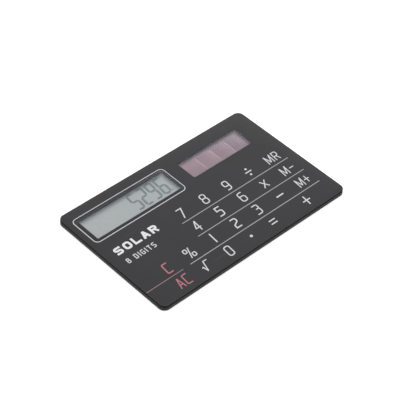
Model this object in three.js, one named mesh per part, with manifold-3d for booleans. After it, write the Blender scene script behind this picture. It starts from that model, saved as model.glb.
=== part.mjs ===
// Card-size solar pocket calculator, modelled as the laminated stack it is:
// a moulded frame with a sheet back let into its underside, a circuit board and
// a glued spacer under a printed one-piece face film, a glass display and a
// glass solar cell seen through clear windows, and 23 press zones of the film,
// each with a carbon contact printed underneath.
//
// Millimetres, +Z up out of the face. X runs along the long side, +Y towards the
// display. The origin is the centre of the footprint on the resting plane.

import * as THREE from "three";
import { mergeVertices } from "three/addons/utils/BufferGeometryUtils.js";
import Module from "manifold-3d";

// ---- driving dimensions -----------------------------------------------------

const CARD_L = 85.6; // long side
const CARD_W = 54.0; // short side
const CARD_R = 2.5; // corner radius
const FOOT_ROUND = 0.3; // rounding of the side wall's lower edge
const WALL_ROUND = 0.1; // and of its upper edge
const GROOVE_Z = 1.58; // the wall ends here, and a fine groove runs under the film's edge
const GROOVE_DEPTH = 0.2;

const Z_BACK_TOP = 0.3; // back cover, 0 to here
const Z_BACK_GLUE_TOP = 0.36; // glue sheet on the back cover
const Z_BOARD_BOTTOM = 1.2;
const Z_BOARD_TOP = 1.6;
const Z_FRAME_TOP = 1.8;
const Z_FILM_BOTTOM = 1.85; // glue and spacer end here, film starts
const Z_FACE = 2.2; // overall thickness

const BACK_RECESS = { w: 84.2, h: 52.6, r: 1.8 };
const BACK_SHEET = { w: 84.0, h: 52.4, r: 1.7 };
const BACK_GLUE = { w: 83.2, h: 51.6, r: 1.3 };
const FILM_INSET = 0.05; // film edge inside the side wall
const FACE_GLUE_INSET = 0.5;

// rectangles are [x0, y0, x1, y1]
const BOARD_POCKET = [-41.5, -25.7, 41.5, 6.4];
const BOARD = [-41.3, -25.5, 41.3, 6.1];
const SPACER = [-41.3, -25.5, 41.3, 6.2];

const LCD_POCKET = [-40.6, 7.9, 1.0, 22.9];
const LCD_REAR = [-40.3, 8.2, 0.7, 22.6];
const LCD_FRONT = [-40.3, 10.0, 0.7, 22.6]; // leaves a contact ledge on the rear glass
const LCD_POLARISER = [-40.0, 10.3, 0.4, 22.3];
const LCD_VIEW = [-38.4, 11.1, -0.8, 21.3]; // opening of the mask
const LCD_MASK = [-40.45, 8.1, 0.85, 22.75];
const LCD_LENS = [-39.9, 9.5, 0.3, 22.55]; // clear window over the display
const LCD_LENS_R = 1.45;
const Z_REFLECTOR_TOP = 0.54;
const Z_REAR_GLASS_TOP = 1.04;
const Z_FRONT_GLASS_TOP = 1.54;
const Z_POLARISER_TOP = 1.72;
const Z_MASK_BOTTOM = 1.76;
const WINDOW_GAP = 0.05;

const SOLAR_POCKET = [4.8, 10.1, 35.8, 21.6];
const SOLAR_GLASS = [5.0, 10.3, 35.6, 21.4];
const SOLAR_LENS = [6.3, 11.4, 34.3, 20.3];
const SOLAR_CELLS = 4;
const Z_SOLAR_FLOOR = 1.1;
const Z_SOLAR_LAYER_TOP = 1.16;
const CELL_SCRIBE = 0.35; // width of the line between two cells
const CELL_SCRIBE_DEPTH = 0.03;

const LEAD_X = [8.0, 32.6]; // the two wires from the cell to the board
const LEAD_R = 0.15;
const LEAD_CHANNEL_W = 1.2;

const RIBBON_X = [-35.0, -5.0]; // display ribbon, along X
const RIBBON_T = 0.06;

const CHIP = { x: -30.0, y: -2.4, r: 4.4, h: 0.62 };
const CHIP_HOLE_R = 5.2;
const CHIP_PARTS = {
  chip_capacitor_1: { x: -19.4, y: 3.4, l: 2.0, w: 1.25, h: 0.7 },
  chip_capacitor_2: { x: -19.4, y: 0.6, l: 2.0, w: 1.25, h: 0.7 },
  chip_resistor: { x: -15.4, y: 3.4, l: 1.6, w: 0.8, h: 0.45 },
};
const CHIP_PARTS_HOLE = [-21.4, -0.9, -13.8, 4.9];

const POSTS = [[-39.3, 4.2], [39.3, 4.2], [-39.3, -23.4], [39.3, -23.4]];
const POST_R = 0.8;
const POST_HOLE_R = 0.95;
const POST_TOP = 1.58;

const KEY_W = 8.8;
const KEY_H = 6.2;
const KEY_R = 1.6;
const KEY_SLIT = 0.08; // film aperture around a press zone
const SPACER_CLEAR = 0.12; // spacer aperture around a press zone
const PILL_R = 1.8;
const PILL_T = 0.05;

const COLUMNS = [-30.3, -19.7, -9.1, 1.5, 12.1, 22.8, 33.9];
const ROWS = [1.33, -6.4, -14.2, -22.05];
// name, column, row
const KEYS = [
  ["key_7", 2, 0], ["key_8", 3, 0], ["key_9", 4, 0], ["key_divide", 5, 0], ["key_memory_recall", 6, 0],
  ["key_4", 2, 1], ["key_5", 3, 1], ["key_6", 4, 1], ["key_multiply", 5, 1], ["key_memory_minus", 6, 1],
  ["key_clear", 0, 2], ["key_percent", 1, 2], ["key_1", 2, 2], ["key_2", 3, 2], ["key_3", 4, 2],
  ["key_minus", 5, 2], ["key_memory_plus", 6, 2],
  ["key_all_clear", 0, 3], ["key_square_root", 1, 3], ["key_0", 2, 3], ["key_decimal_point", 3, 3],
  ["key_equals", 4, 3],
];
// the plus key is as wide as the two columns above it
const PLUS = { name: "key_plus", x: (COLUMNS[5] + COLUMNS[6]) / 2, y: ROWS[3], w: COLUMNS[6] - COLUMNS[5] + KEY_W };

// ---- shapes -----------------------------------------------------------------

const wasm = await Module();
wasm.setup();

// counter-clockwise outline of a rounded rectangle
function rounded(cx, cy, w, h, r, n = 4) {
  const points = [];
  const corners = [
    [cx + w / 2 - r, cy + h / 2 - r, 0],
    [cx - w / 2 + r, cy + h / 2 - r, Math.PI / 2],
    [cx - w / 2 + r, cy - h / 2 + r, Math.PI],
    [cx + w / 2 - r, cy - h / 2 + r, 1.5 * Math.PI],
  ];
  for (const [x, y, start] of corners) {
    for (let i = 0; i <= n; i++) {
      const a = start + (i / n) * (Math.PI / 2);
      points.push(new THREE.Vector2(x + r * Math.cos(a), y + r * Math.sin(a)));
    }
  }
  return points;
}

function rect([x0, y0, x1, y1], r = 0.4, n = 3) {
  return rounded((x0 + x1) / 2, (y0 + y1) / 2, x1 - x0, y1 - y0, r, n);
}

function grown([x0, y0, x1, y1], by) {
  return [x0 - by, y0 - by, x1 + by, y1 + by];
}

function circle(cx, cy, r, n = 20) {
  const points = [];
  for (let i = 0; i < n; i++) {
    const a = (i / n) * 2 * Math.PI;
    points.push(new THREE.Vector2(cx + r * Math.cos(a), cy + r * Math.sin(a)));
  }
  return points;
}

// straight slab between two heights, with optional through openings
function slab(points, z0, z1, holes = []) {
  const shape = new THREE.Shape(points);
  for (const h of holes) shape.holes.push(new THREE.Path(h));
  const g = new THREE.ExtrudeGeometry(shape, { depth: z1 - z0, bevelEnabled: false, steps: 1 });
  g.translate(0, 0, z0);
  return g;
}

// merged, position-only copy whose faces point outwards
function closed(g) {
  const bare = g.clone();
  bare.deleteAttribute("normal");
  bare.deleteAttribute("uv");
  const m = mergeVertices(bare, 1e-5);
  const p = m.attributes.position;
  const ix = m.index.array;
  let volume = 0;
  const a = new THREE.Vector3();
  const b = new THREE.Vector3();
  const c = new THREE.Vector3();
  for (let i = 0; i < ix.length; i += 3) {
    a.fromBufferAttribute(p, ix[i]);
    b.fromBufferAttribute(p, ix[i + 1]);
    c.fromBufferAttribute(p, ix[i + 2]);
    volume += a.dot(b.cross(c));
  }
  if (volume < 0) {
    for (let i = 0; i < ix.length; i += 3) {
      const t = ix[i];
      ix[i] = ix[i + 1];
      ix[i + 1] = t;
    }
  }
  return m;
}

function solid(g) {
  const m = closed(g);
  return new wasm.Manifold(
    new wasm.Mesh({
      numProp: 3,
      vertProperties: new Float32Array(m.attributes.position.array),
      triVerts: new Uint32Array(m.index.array),
    }),
  );
}

function geometry(m) {
  const mesh = m.getMesh();
  const g = new THREE.BufferGeometry();
  const n = mesh.numProp;
  const count = mesh.vertProperties.length / n;
  const xyz = new Float32Array(count * 3);
  for (let i = 0; i < count; i++) {
    for (let k = 0; k < 3; k++) xyz[i * 3 + k] = mesh.vertProperties[i * n + k];
  }
  g.setAttribute("position", new THREE.BufferAttribute(xyz, 3));
  g.setIndex(new THREE.BufferAttribute(new Uint32Array(mesh.triVerts), 1));
  return g;
}

function cut(base, ...tools) {
  let m = base;
  for (const t of tools) m = m.subtract(solid(t));
  return m;
}

function join(base, ...more) {
  let m = base;
  for (const t of more) m = m.add(solid(t));
  return m;
}

const group = new THREE.Group();
group.name = "pocket_calculator";

function place(name, g, color, roughness, metalness = 0, extra = {}) {
  const shown = closed(g);
  shown.computeVertexNormals();
  const mesh = new THREE.Mesh(shown, new THREE.MeshStandardMaterial({ color, roughness, metalness, ...extra }));
  mesh.name = name;
  group.add(mesh);
  return mesh;
}

// ---- key layout -------------------------------------------------------------

const zones = KEYS.map(([name, c, r]) => ({ name, x: COLUMNS[c], y: ROWS[r], w: KEY_W }));
zones.push(PLUS);

function zoneOutline(k, by) {
  return rounded(k.x, k.y, k.w + 2 * by, KEY_H + 2 * by, KEY_R + by, 3);
}

// ---- frame ------------------------------------------------------------------

{
  // outer wall, rounded at its foot and under the groove, and the rim inside the groove
  const wall = (z0, z1, round, steps) => {
    const g = new THREE.ExtrudeGeometry(new THREE.Shape(rounded(0, 0, CARD_L, CARD_W, CARD_R, 10)), {
      depth: z1 - z0 - 2 * round,
      bevelEnabled: true,
      bevelThickness: round,
      bevelSize: round,
      bevelOffset: -round,
      bevelSegments: steps,
      steps: 1,
    });
    g.translate(0, 0, z0 + round);
    return g;
  };
  const inner = 2 * GROOVE_DEPTH;
  let frame = join(
    solid(wall(0, GROOVE_Z - 0.3, FOOT_ROUND, 4)),
    wall(FOOT_ROUND + 0.1, GROOVE_Z, WALL_ROUND, 2),
    slab(rounded(0, 0, CARD_L - inner, CARD_W - inner, CARD_R - GROOVE_DEPTH, 10), 1.3, Z_FRAME_TOP),
  );
  const channels = LEAD_X.map((x) =>
    slab(rect([x - LEAD_CHANNEL_W / 2, 4.2, x + LEAD_CHANNEL_W / 2, 12.9], 0.1, 1), 0.7, 3),
  );
  frame = cut(
    frame,
    slab(rounded(0, 0, BACK_RECESS.w, BACK_RECESS.h, BACK_RECESS.r, 6), -1, Z_BACK_GLUE_TOP),
    slab(rect(BOARD_POCKET, 1.2), Z_BOARD_BOTTOM, 3),
    slab(rect(LCD_POCKET, 0.3, 2), -1, 3),
    slab(rect(SOLAR_POCKET, 0.3, 2), Z_SOLAR_FLOOR, 3),
    slab(circle(CHIP.x, CHIP.y, CHIP_HOLE_R, 24), -1, 3),
    slab(rect(CHIP_PARTS_HOLE, 0.5), -1, 3),
    slab(rect([RIBBON_X[0] - 0.3, 5.8, RIBBON_X[1] + 0.3, 8.4], 0.1, 1), 0.95, 3),
    ...channels,
  );
  frame = join(frame, ...POSTS.map(([x, y]) => slab(circle(x, y, POST_R, 12), Z_BOARD_BOTTOM - 0.1, POST_TOP)));
  place("case_frame", geometry(frame), 0x3c3c3e, 0.62);
}

place(
  "back_cover",
  slab(rounded(0, 0, BACK_SHEET.w, BACK_SHEET.h, BACK_SHEET.r, 6), 0, Z_BACK_TOP),
  0x323234, 0.55,
);

place(
  "back_adhesive",
  slab(rounded(0, 0, BACK_GLUE.w, BACK_GLUE.h, BACK_GLUE.r, 4), Z_BACK_TOP, Z_BACK_GLUE_TOP, [
    circle(CHIP.x, CHIP.y, CHIP_HOLE_R, 16),
  ]),
  0xd8d2b8, 0.8,
);

place(
  "face_adhesive",
  slab(
    rounded(0, 0, CARD_L - 2 * FACE_GLUE_INSET, CARD_W - 2 * FACE_GLUE_INSET, CARD_R - FACE_GLUE_INSET, 6),
    Z_FRAME_TOP,
    Z_FILM_BOTTOM,
    [rect(BOARD_POCKET, 1.2), rect(LCD_POCKET, 0.3, 2), rect(SOLAR_POCKET, 0.3, 2)],
  ),
  0xd8d2b8, 0.8,
);

// ---- circuit board and what is soldered to it ---------------------------------

place(
  "circuit_board",
  slab(rect(BOARD, 1.1), Z_BOARD_BOTTOM, Z_BOARD_TOP, POSTS.map(([x, y]) => circle(x, y, POST_HOLE_R, 12))),
  0x2f5a3a, 0.5,
);

{
  // drop of black resin over the bonded chip, hanging under the board
  const profile = [new THREE.Vector2(0, -CHIP.h)];
  for (let i = 1; i <= 6; i++) {
    const a = (i / 6) * (Math.PI / 2);
    profile.push(new THREE.Vector2(CHIP.r * Math.sin(a), -CHIP.h * Math.cos(a)));
  }
  profile.push(new THREE.Vector2(0, 0));
  const dome = new THREE.LatheGeometry(profile, 20);
  dome.rotateX(Math.PI / 2);
  dome.translate(CHIP.x, CHIP.y, Z_BOARD_BOTTOM);
  place("chip_resin", dome, 0x151515, 0.3);
}

for (const [name, p] of Object.entries(CHIP_PARTS)) {
  // chip body with its two tinned ends a little proud of the middle
  const z1 = Z_BOARD_BOTTOM;
  const end = p.l * 0.22;
  let chip = solid(
    slab(rect([p.x - p.l / 2 + 0.05, p.y - p.w / 2 + 0.04, p.x + p.l / 2 - 0.05, p.y + p.w / 2 - 0.04], 0.05, 1),
      z1 - p.h + 0.04, z1 - 0.04),
  );
  chip = join(
    chip,
    slab(rect([p.x - p.l / 2, p.y - p.w / 2, p.x - p.l / 2 + end, p.y + p.w / 2], 0.08, 1), z1 - p.h, z1),
    slab(rect([p.x + p.l / 2 - end, p.y - p.w / 2, p.x + p.l / 2, p.y + p.w / 2], 0.08, 1), z1 - p.h, z1),
  );
  place(name, geometry(chip), name === "chip_resistor" ? 0x1c1c1e : 0x9a7a58, 0.45);
}

{
  // spacer sheet, glued both sides, open under every press zone and over the ribbon
  const sheet = solid(
    slab(rect(SPACER, 1.1), Z_BOARD_TOP, Z_FILM_BOTTOM, zones.map((k) => zoneOutline(k, SPACER_CLEAR))),
  );
  const notch = slab(rect([RIBBON_X[0] - 0.3, 4.7, RIBBON_X[1] + 0.3, 8], 0.3, 2), 1, 3);
  place("spacer_sheet", geometry(cut(sheet, notch)), 0xc9c9c4, 0.7);
}

// ---- display ------------------------------------------------------------------

place("display_reflector", slab(rect(LCD_REAR, 0.1, 1), Z_BACK_GLUE_TOP, Z_REFLECTOR_TOP), 0xb4bab4, 0.4, 0.4);
place("display_rear_glass", slab(rect(LCD_REAR, 0.15, 1), Z_REFLECTOR_TOP, Z_REAR_GLASS_TOP), 0xc6cfc9, 0.1, 0, {
  transparent: true, opacity: 0.5,
});
place("display_front_glass", slab(rect(LCD_FRONT, 0.15, 1), Z_REAR_GLASS_TOP, Z_FRONT_GLASS_TOP), 0xc6cfc9, 0.1, 0, {
  transparent: true, opacity: 0.5,
});
place("display_polariser", slab(rect(LCD_POLARISER, 0.1, 1), Z_FRONT_GLASS_TOP, Z_POLARISER_TOP), 0xaeb8b2, 0.3, 0, {
  transparent: true, opacity: 0.6,
});
place(
  "display_mask",
  slab(rect(LCD_MASK, 0.3, 2), Z_MASK_BOTTOM, Z_FILM_BOTTOM, [rect(LCD_VIEW, 0.35, 2)]),
  0x1a1c1e, 0.5,
);
place("display_window", slab(rect(LCD_LENS, LCD_LENS_R, 5), Z_FILM_BOTTOM, Z_FACE), 0xdde3e3, 0.05, 0, {
  transparent: true, opacity: 0.25,
});

{
  // thin ribbon from the ledge of the rear glass up to the board's top face
  const line = [[9.7, 1.08], [8.3, 1.08], [7.2, 1.34], [6.4, 1.66], [4.95, 1.66]];
  const side = (sign) =>
    line.map(([y, z], i) => {
      const [ya, za] = line[Math.max(0, i - 1)];
      const [yb, zb] = line[Math.min(line.length - 1, i + 1)];
      const l = Math.hypot(yb - ya, zb - za);
      return new THREE.Vector2(y - (sign * (zb - za) * RIBBON_T) / (2 * l), z + (sign * (yb - ya) * RIBBON_T) / (2 * l));
    });
  const outline = [...side(1), ...side(-1).reverse()];
  const g = new THREE.ExtrudeGeometry(new THREE.Shape(outline), {
    depth: RIBBON_X[1] - RIBBON_X[0], bevelEnabled: false, steps: 1,
  });
  // shape (x, y, z) becomes (z, x, y): drawn in the YZ plane, run along X
  g.applyMatrix4(new THREE.Matrix4().set(0, 0, 1, RIBBON_X[0], 1, 0, 0, 0, 0, 1, 0, 0, 0, 0, 0, 1));
  place("display_ribbon", g, 0xa87f3c, 0.5);
}

// ---- solar cell -----------------------------------------------------------------

{
  let layer = solid(slab(rect(SOLAR_GLASS, 0.1, 1), Z_SOLAR_FLOOR, Z_SOLAR_LAYER_TOP));
  const [x0, , x1] = SOLAR_LENS;
  const pitch = (x1 - x0) / SOLAR_CELLS;
  const scribes = [];
  for (let i = 1; i < SOLAR_CELLS; i++) {
    const x = x0 + i * pitch;
    scribes.push(
      slab(rect([x - CELL_SCRIBE / 2, 0, x + CELL_SCRIBE / 2, 30], 0.05, 1), Z_SOLAR_LAYER_TOP - CELL_SCRIBE_DEPTH, 2),
    );
  }
  layer = cut(layer, ...scribes);
  place("solar_cell_layer", geometry(layer), 0x6b4a52, 0.35, 0.2);
}
place("solar_cell_glass", slab(rect(SOLAR_GLASS, 0.15, 1), Z_SOLAR_LAYER_TOP, Z_FRAME_TOP), 0xa79aa0, 0.1, 0, {
  transparent: true, opacity: 0.5,
});
place("solar_window", slab(rect(SOLAR_LENS, 0.35, 3), Z_FILM_BOTTOM, Z_FACE), 0xa59ba0, 0.15, 0, {
  transparent: true, opacity: 0.35,
});

LEAD_X.forEach((x, i) => {
  const path = new THREE.CatmullRomCurve3([
    new THREE.Vector3(x, 12.3, 0.92),
    new THREE.Vector3(x, 10.4, 0.88),
    new THREE.Vector3(x, 7.6, 0.88),
    new THREE.Vector3(x, 6.0, 0.94),
    new THREE.Vector3(x, 4.6, 1.02),
  ]);
  const g = new THREE.ExtrudeGeometry(new THREE.Shape(circle(0, 0, LEAD_R, 8)), {
    extrudePath: path, steps: 12, bevelEnabled: false,
  });
  place(i === 0 ? "solar_lead_positive" : "solar_lead_negative", g, i === 0 ? 0xa03028 : 0x202022, 0.5);
});

// ---- face film and its press zones ------------------------------------------------

place(
  "face_film",
  slab(
    rounded(0, 0, CARD_L - 2 * FILM_INSET, CARD_W - 2 * FILM_INSET, CARD_R - FILM_INSET, 8),
    Z_FILM_BOTTOM,
    Z_FACE,
    [
      rect(grown(LCD_LENS, WINDOW_GAP), LCD_LENS_R + WINDOW_GAP, 5),
      rect(grown(SOLAR_LENS, WINDOW_GAP), 0.4, 3),
      ...zones.map((k) => zoneOutline(k, KEY_SLIT)),
    ],
  ),
  0x434144, 0.6,
);

for (const k of zones) {
  const body = join(
    solid(slab(zoneOutline(k, 0), Z_FILM_BOTTOM, Z_FACE)),
    slab(circle(k.x, k.y, PILL_R, 12), Z_FILM_BOTTOM - PILL_T, Z_FILM_BOTTOM + 0.1),
  );
  place(k.name, geometry(body), k.name.includes("clear") ? 0x5a3a42 : 0x4b494c, 0.6);
}

export default group;
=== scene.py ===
import math

import bpy
from mathutils import Matrix, Vector
from mathutils.geometry import delaunay_2d_cdt


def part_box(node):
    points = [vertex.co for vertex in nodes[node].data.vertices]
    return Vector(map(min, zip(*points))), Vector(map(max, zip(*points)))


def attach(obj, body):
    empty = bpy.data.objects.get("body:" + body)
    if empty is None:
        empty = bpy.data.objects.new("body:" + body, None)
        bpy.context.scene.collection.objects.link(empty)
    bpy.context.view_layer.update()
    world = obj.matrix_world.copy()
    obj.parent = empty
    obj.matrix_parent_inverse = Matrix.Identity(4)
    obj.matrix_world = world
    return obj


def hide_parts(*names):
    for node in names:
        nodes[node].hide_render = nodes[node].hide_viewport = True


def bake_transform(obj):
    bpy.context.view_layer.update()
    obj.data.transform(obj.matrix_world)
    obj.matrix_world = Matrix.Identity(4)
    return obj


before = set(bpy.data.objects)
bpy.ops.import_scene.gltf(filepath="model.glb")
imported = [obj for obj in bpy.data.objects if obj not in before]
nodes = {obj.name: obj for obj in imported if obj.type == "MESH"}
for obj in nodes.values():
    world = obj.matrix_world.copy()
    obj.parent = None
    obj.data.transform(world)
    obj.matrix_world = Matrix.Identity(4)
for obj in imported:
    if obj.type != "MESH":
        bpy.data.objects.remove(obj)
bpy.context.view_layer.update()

MM = 0.001
scene = bpy.context.scene

# ---------------------------------------------------------------------------------------------
# camera: at the viewing angle of the object, long lens, no shift, no depth of field
# ---------------------------------------------------------------------------------------------
CAM_AZ, CAM_EL, CAM_ROLL = -0.793358997, 0.772322541, 0.060188372
CAM_D, CAM_F = 522.40636, 1516.6          # mm, and pixels on a 400 pixel frame
CAM_CX, CAM_CY = 203.52, 207.54       # where the origin falls on that frame
CAM_LIFT = 0.11                               # mm


def make_camera():
    az, el, roll = CAM_AZ, CAM_EL, CAM_ROLL
    back = Vector((math.sin(az) * math.cos(el), -math.cos(az) * math.cos(el), math.sin(el)))
    right = Vector((math.cos(az), math.sin(az), 0.0))
    up = back.cross(right)
    r2 = math.cos(roll) * right + math.sin(roll) * up
    u2 = -math.sin(roll) * right + math.cos(roll) * up
    pos = back * CAM_D - r2 * ((CAM_CX - 200) / CAM_F * CAM_D) + u2 * ((CAM_CY - 200) / CAM_F * CAM_D)
    pos = pos + Vector((0, 0, CAM_LIFT))
    data = bpy.data.cameras.new("view_camera")
    data.sensor_fit = "HORIZONTAL"
    data.sensor_width = 36.0
    data.lens = CAM_F / 400.0 * 36.0
    data.clip_start = 0.01
    data.clip_end = 20.0
    cam = bpy.data.objects.new("view_camera", data)
    scene.collection.objects.link(cam)
    m = Matrix.Identity(4)
    for i in range(3):
        m[i][0], m[i][1], m[i][2], m[i][3] = r2[i], u2[i], back[i], pos[i] * MM
    cam.matrix_world = m
    scene.camera = cam


make_camera()

# ---------------------------------------------------------------------------------------------
# small mesh kit, all sizes in mm
# ---------------------------------------------------------------------------------------------
Z_FACE = 2.20
Z_FILM = 1.85


def new_mesh(name, verts, faces, material=None, sharp=35.0):
    me = bpy.data.meshes.new(name)
    me.from_pydata([(v[0] * MM, v[1] * MM, v[2] * MM) for v in verts], [], faces)
    me.validate()
    me.update()
    for p in me.polygons:
        p.use_smooth = True
    me.set_sharp_from_angle(angle=math.radians(sharp))
    o = bpy.data.objects.new(name, me)
    scene.collection.objects.link(o)
    if material is not None:
        me.materials.append(material)
    return o


def rounded(x0, y0, x1, y1, r, n=10):
    """counter-clockwise outline of a rounded rectangle, n steps in each corner"""
    pts = []
    for cx, cy, a0 in (
        (x1 - r, y1 - r, 0.0),
        (x0 + r, y1 - r, 0.5 * math.pi),
        (x0 + r, y0 + r, math.pi),
        (x1 - r, y0 + r, 1.5 * math.pi),
    ):
        for i in range(n + 1):
            a = a0 + 0.5 * math.pi * i / n
            pts.append((cx + r * math.cos(a), cy + r * math.sin(a)))
    return pts


def disc(cx, cy, r, n=28):
    return [(cx + r * math.cos(2 * math.pi * i / n), cy + r * math.sin(2 * math.pi * i / n)) for i in range(n)]


def area2(poly):
    return sum(poly[i - 1][0] * poly[i][1] - poly[i][0] * poly[i - 1][1] for i in range(len(poly)))


def cdt(polys, keep):
    """triangles whose set of covering polygons satisfies keep(set)"""
    verts, faces = [], []
    for poly in polys:
        if area2(poly) < 0:
            poly = poly[::-1]
        base = len(verts)
        verts.extend(Vector(p) for p in poly)
        faces.append(list(range(base, base + len(poly))))
    v, _, f, ov, _, of = delaunay_2d_cdt(verts, [], faces, 1, 1e-5, True)
    tris = []
    for face, cover in zip(f, of):
        if keep(set(cover)):
            a = area2([v[i] for i in face])
            if abs(a) > 1e-9:
                tris.append(list(face) if a > 0 else list(face)[::-1])
    place = {}
    for out_index, ins in enumerate(ov):
        for i in ins:
            place[i] = out_index
    return [(p[0], p[1]) for p in v], tris, place


def covered(polys, v, t):
    """is the middle of this triangle inside one of the polygons"""
    px = sum(v[i][0] for i in t) / len(t)
    py = sum(v[i][1] for i in t) / len(t)
    for poly in polys:
        inside = False
        for i in range(len(poly)):
            (ax, ay), (bx, by) = poly[i - 1], poly[i]
            if (ay > py) != (by > py) and px < (bx - ax) * (py - ay) / (by - ay) + ax:
                inside = not inside
        if inside:
            return True
    return False


def plate(name, polys, z0, z1, material, keep=None, soft=0.0):
    """closed plate over the union of flat polygons"""
    v, tris, _ = cdt(polys, keep or (lambda c: True))
    if keep is None:
        tris = [t for t in tris if covered(polys, v, t)]
    used = sorted({i for t in tris for i in t})
    new = {old: k for k, old in enumerate(used)}
    pts = [v[i] for i in used]
    tris = [[new[i] for i in t] for t in tris]
    n = len(pts)
    count = {}
    for t in tris:
        for k in range(len(t)):
            a, b = t[k], t[(k + 1) % len(t)]
            count[(a, b)] = count.get((a, b), 0) + 1
    rim = [(a, b) for (a, b) in count if (b, a) not in count]
    if not soft:
        verts = [(x, y, z1) for x, y in pts] + [(x, y, z0) for x, y in pts]
        faces = [list(t) for t in tris] + [[i + n for i in t[::-1]] for t in tris]
        faces += [[a + n, b + n, b, a] for a, b in rim]
        return new_mesh(name, verts, faces, material)
    # rounded shoulder: rim points move outwards a little below the top
    push = {}
    for a, b in rim:
        dx, dy = pts[b][0] - pts[a][0], pts[b][1] - pts[a][1]
        d = math.hypot(dx, dy) or 1.0
        for i in (a, b):
            q = push.setdefault(i, [0.0, 0.0])
            q[0] += dy / d
            q[1] -= dx / d
    verts = [(x, y, z1) for x, y in pts] + [(x, y, z0) for x, y in pts]
    faces = [list(t) for t in tris] + [[i + n for i in t[::-1]] for t in tris]
    mid = {}
    for i, (px, py) in push.items():
        d = math.hypot(px, py) or 1.0
        mid[i] = len(verts)
        verts.append((pts[i][0] + px / d * soft, pts[i][1] + py / d * soft, z1 - soft * 0.6))
    for a, b in rim:
        faces.append([mid[a], mid[b], b, a])
        faces.append([a + n, b + n, mid[b], mid[a]])
    return new_mesh(name, verts, faces, material, sharp=80)


def fillet(pts, closed=False, step=15.0, least=0.0):
    """polyline with its corners rounded; a point is (x, y) or (x, y, radius)"""
    out = []
    n = len(pts)
    for i, p in enumerate(pts):
        r = p[2] if len(p) > 2 and p[2] > least else 0.0
        here = Vector(p[:2])
        if r <= 0 or (not closed and i in (0, n - 1)):
            out.append(tuple(here))
            continue
        prev, nxt = Vector(pts[i - 1][:2]), Vector(pts[(i + 1) % n][:2])
        la, lb = (prev - here).length, (nxt - here).length
        a, b = (prev - here) / la, (nxt - here) / lb
        half = a.angle(b) / 2
        if half > math.radians(89) or half < math.radians(3):
            out.append(tuple(here))
            continue
        t = min(r / math.tan(half), 0.499 * la if len(pts[i - 1]) > 2 else la * 0.98, 0.499 * lb if len(pts[(i + 1) % n]) > 2 else lb * 0.98)
        rr = t * math.tan(half)
        c = here + (a + b).normalized() * (rr / math.sin(half))
        s, e = here + a * t - c, here + b * t - c
        turn = math.atan2(s.x * e.y - s.y * e.x, s.dot(e))
        steps = max(2, int(abs(math.degrees(turn)) / step + 0.999))
        for k in range(steps + 1):
            ang = turn * k / steps
            out.append((c.x + s.x * math.cos(ang) - s.y * math.sin(ang), c.y + s.x * math.sin(ang) + s.y * math.cos(ang)))
    return out


def stroke(path, width, closed=False):
    """quads that cover a stroke of this width along the path"""
    pts = [Vector(p) for p in path]
    clean = [pts[0]]
    for p in pts[1:]:
        if (p - clean[-1]).length > 1e-4:
            clean.append(p)
    if closed and (clean[0] - clean[-1]).length < 1e-4:
        clean.pop()
    pts = clean
    n = len(pts)
    segs = n if closed else n - 1
    h = width / 2
    d = [(pts[(i + 1) % n] - pts[i]).normalized() for i in range(segs)]
    nor = [Vector((-q.y, q.x)) for q in d]
    start, end = {}, {}
    for k in range(n):
        a = (k - 1) % n if (closed or k > 0) else None
        b = k if k < segs else None
        if a is not None and a < segs and b is not None:
            m = nor[a] + nor[b]
            if m.length > 1e-6:
                m.normalize()
                s = h / max(m.dot(nor[b]), 1e-6)
                if s <= 1.8 * h:
                    end[a] = (pts[k] + m * s, pts[k] - m * s)
                    start[b] = end[a]
                    continue
            e = 0.35 * h
            end[a] = (pts[k] + d[a] * e + nor[a] * h, pts[k] + d[a] * e - nor[a] * h)
            start[b] = (pts[k] - d[b] * e + nor[b] * h, pts[k] - d[b] * e - nor[b] * h)
        elif b is not None:
            start[b] = (pts[k] + nor[b] * h, pts[k] - nor[b] * h)
        elif a is not None:
            end[a] = (pts[k] + nor[a] * h, pts[k] - nor[a] * h)
    return [[tuple(start[i][1]), tuple(end[i][1]), tuple(end[i][0]), tuple(start[i][0])] for i in range(segs)]


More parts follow.
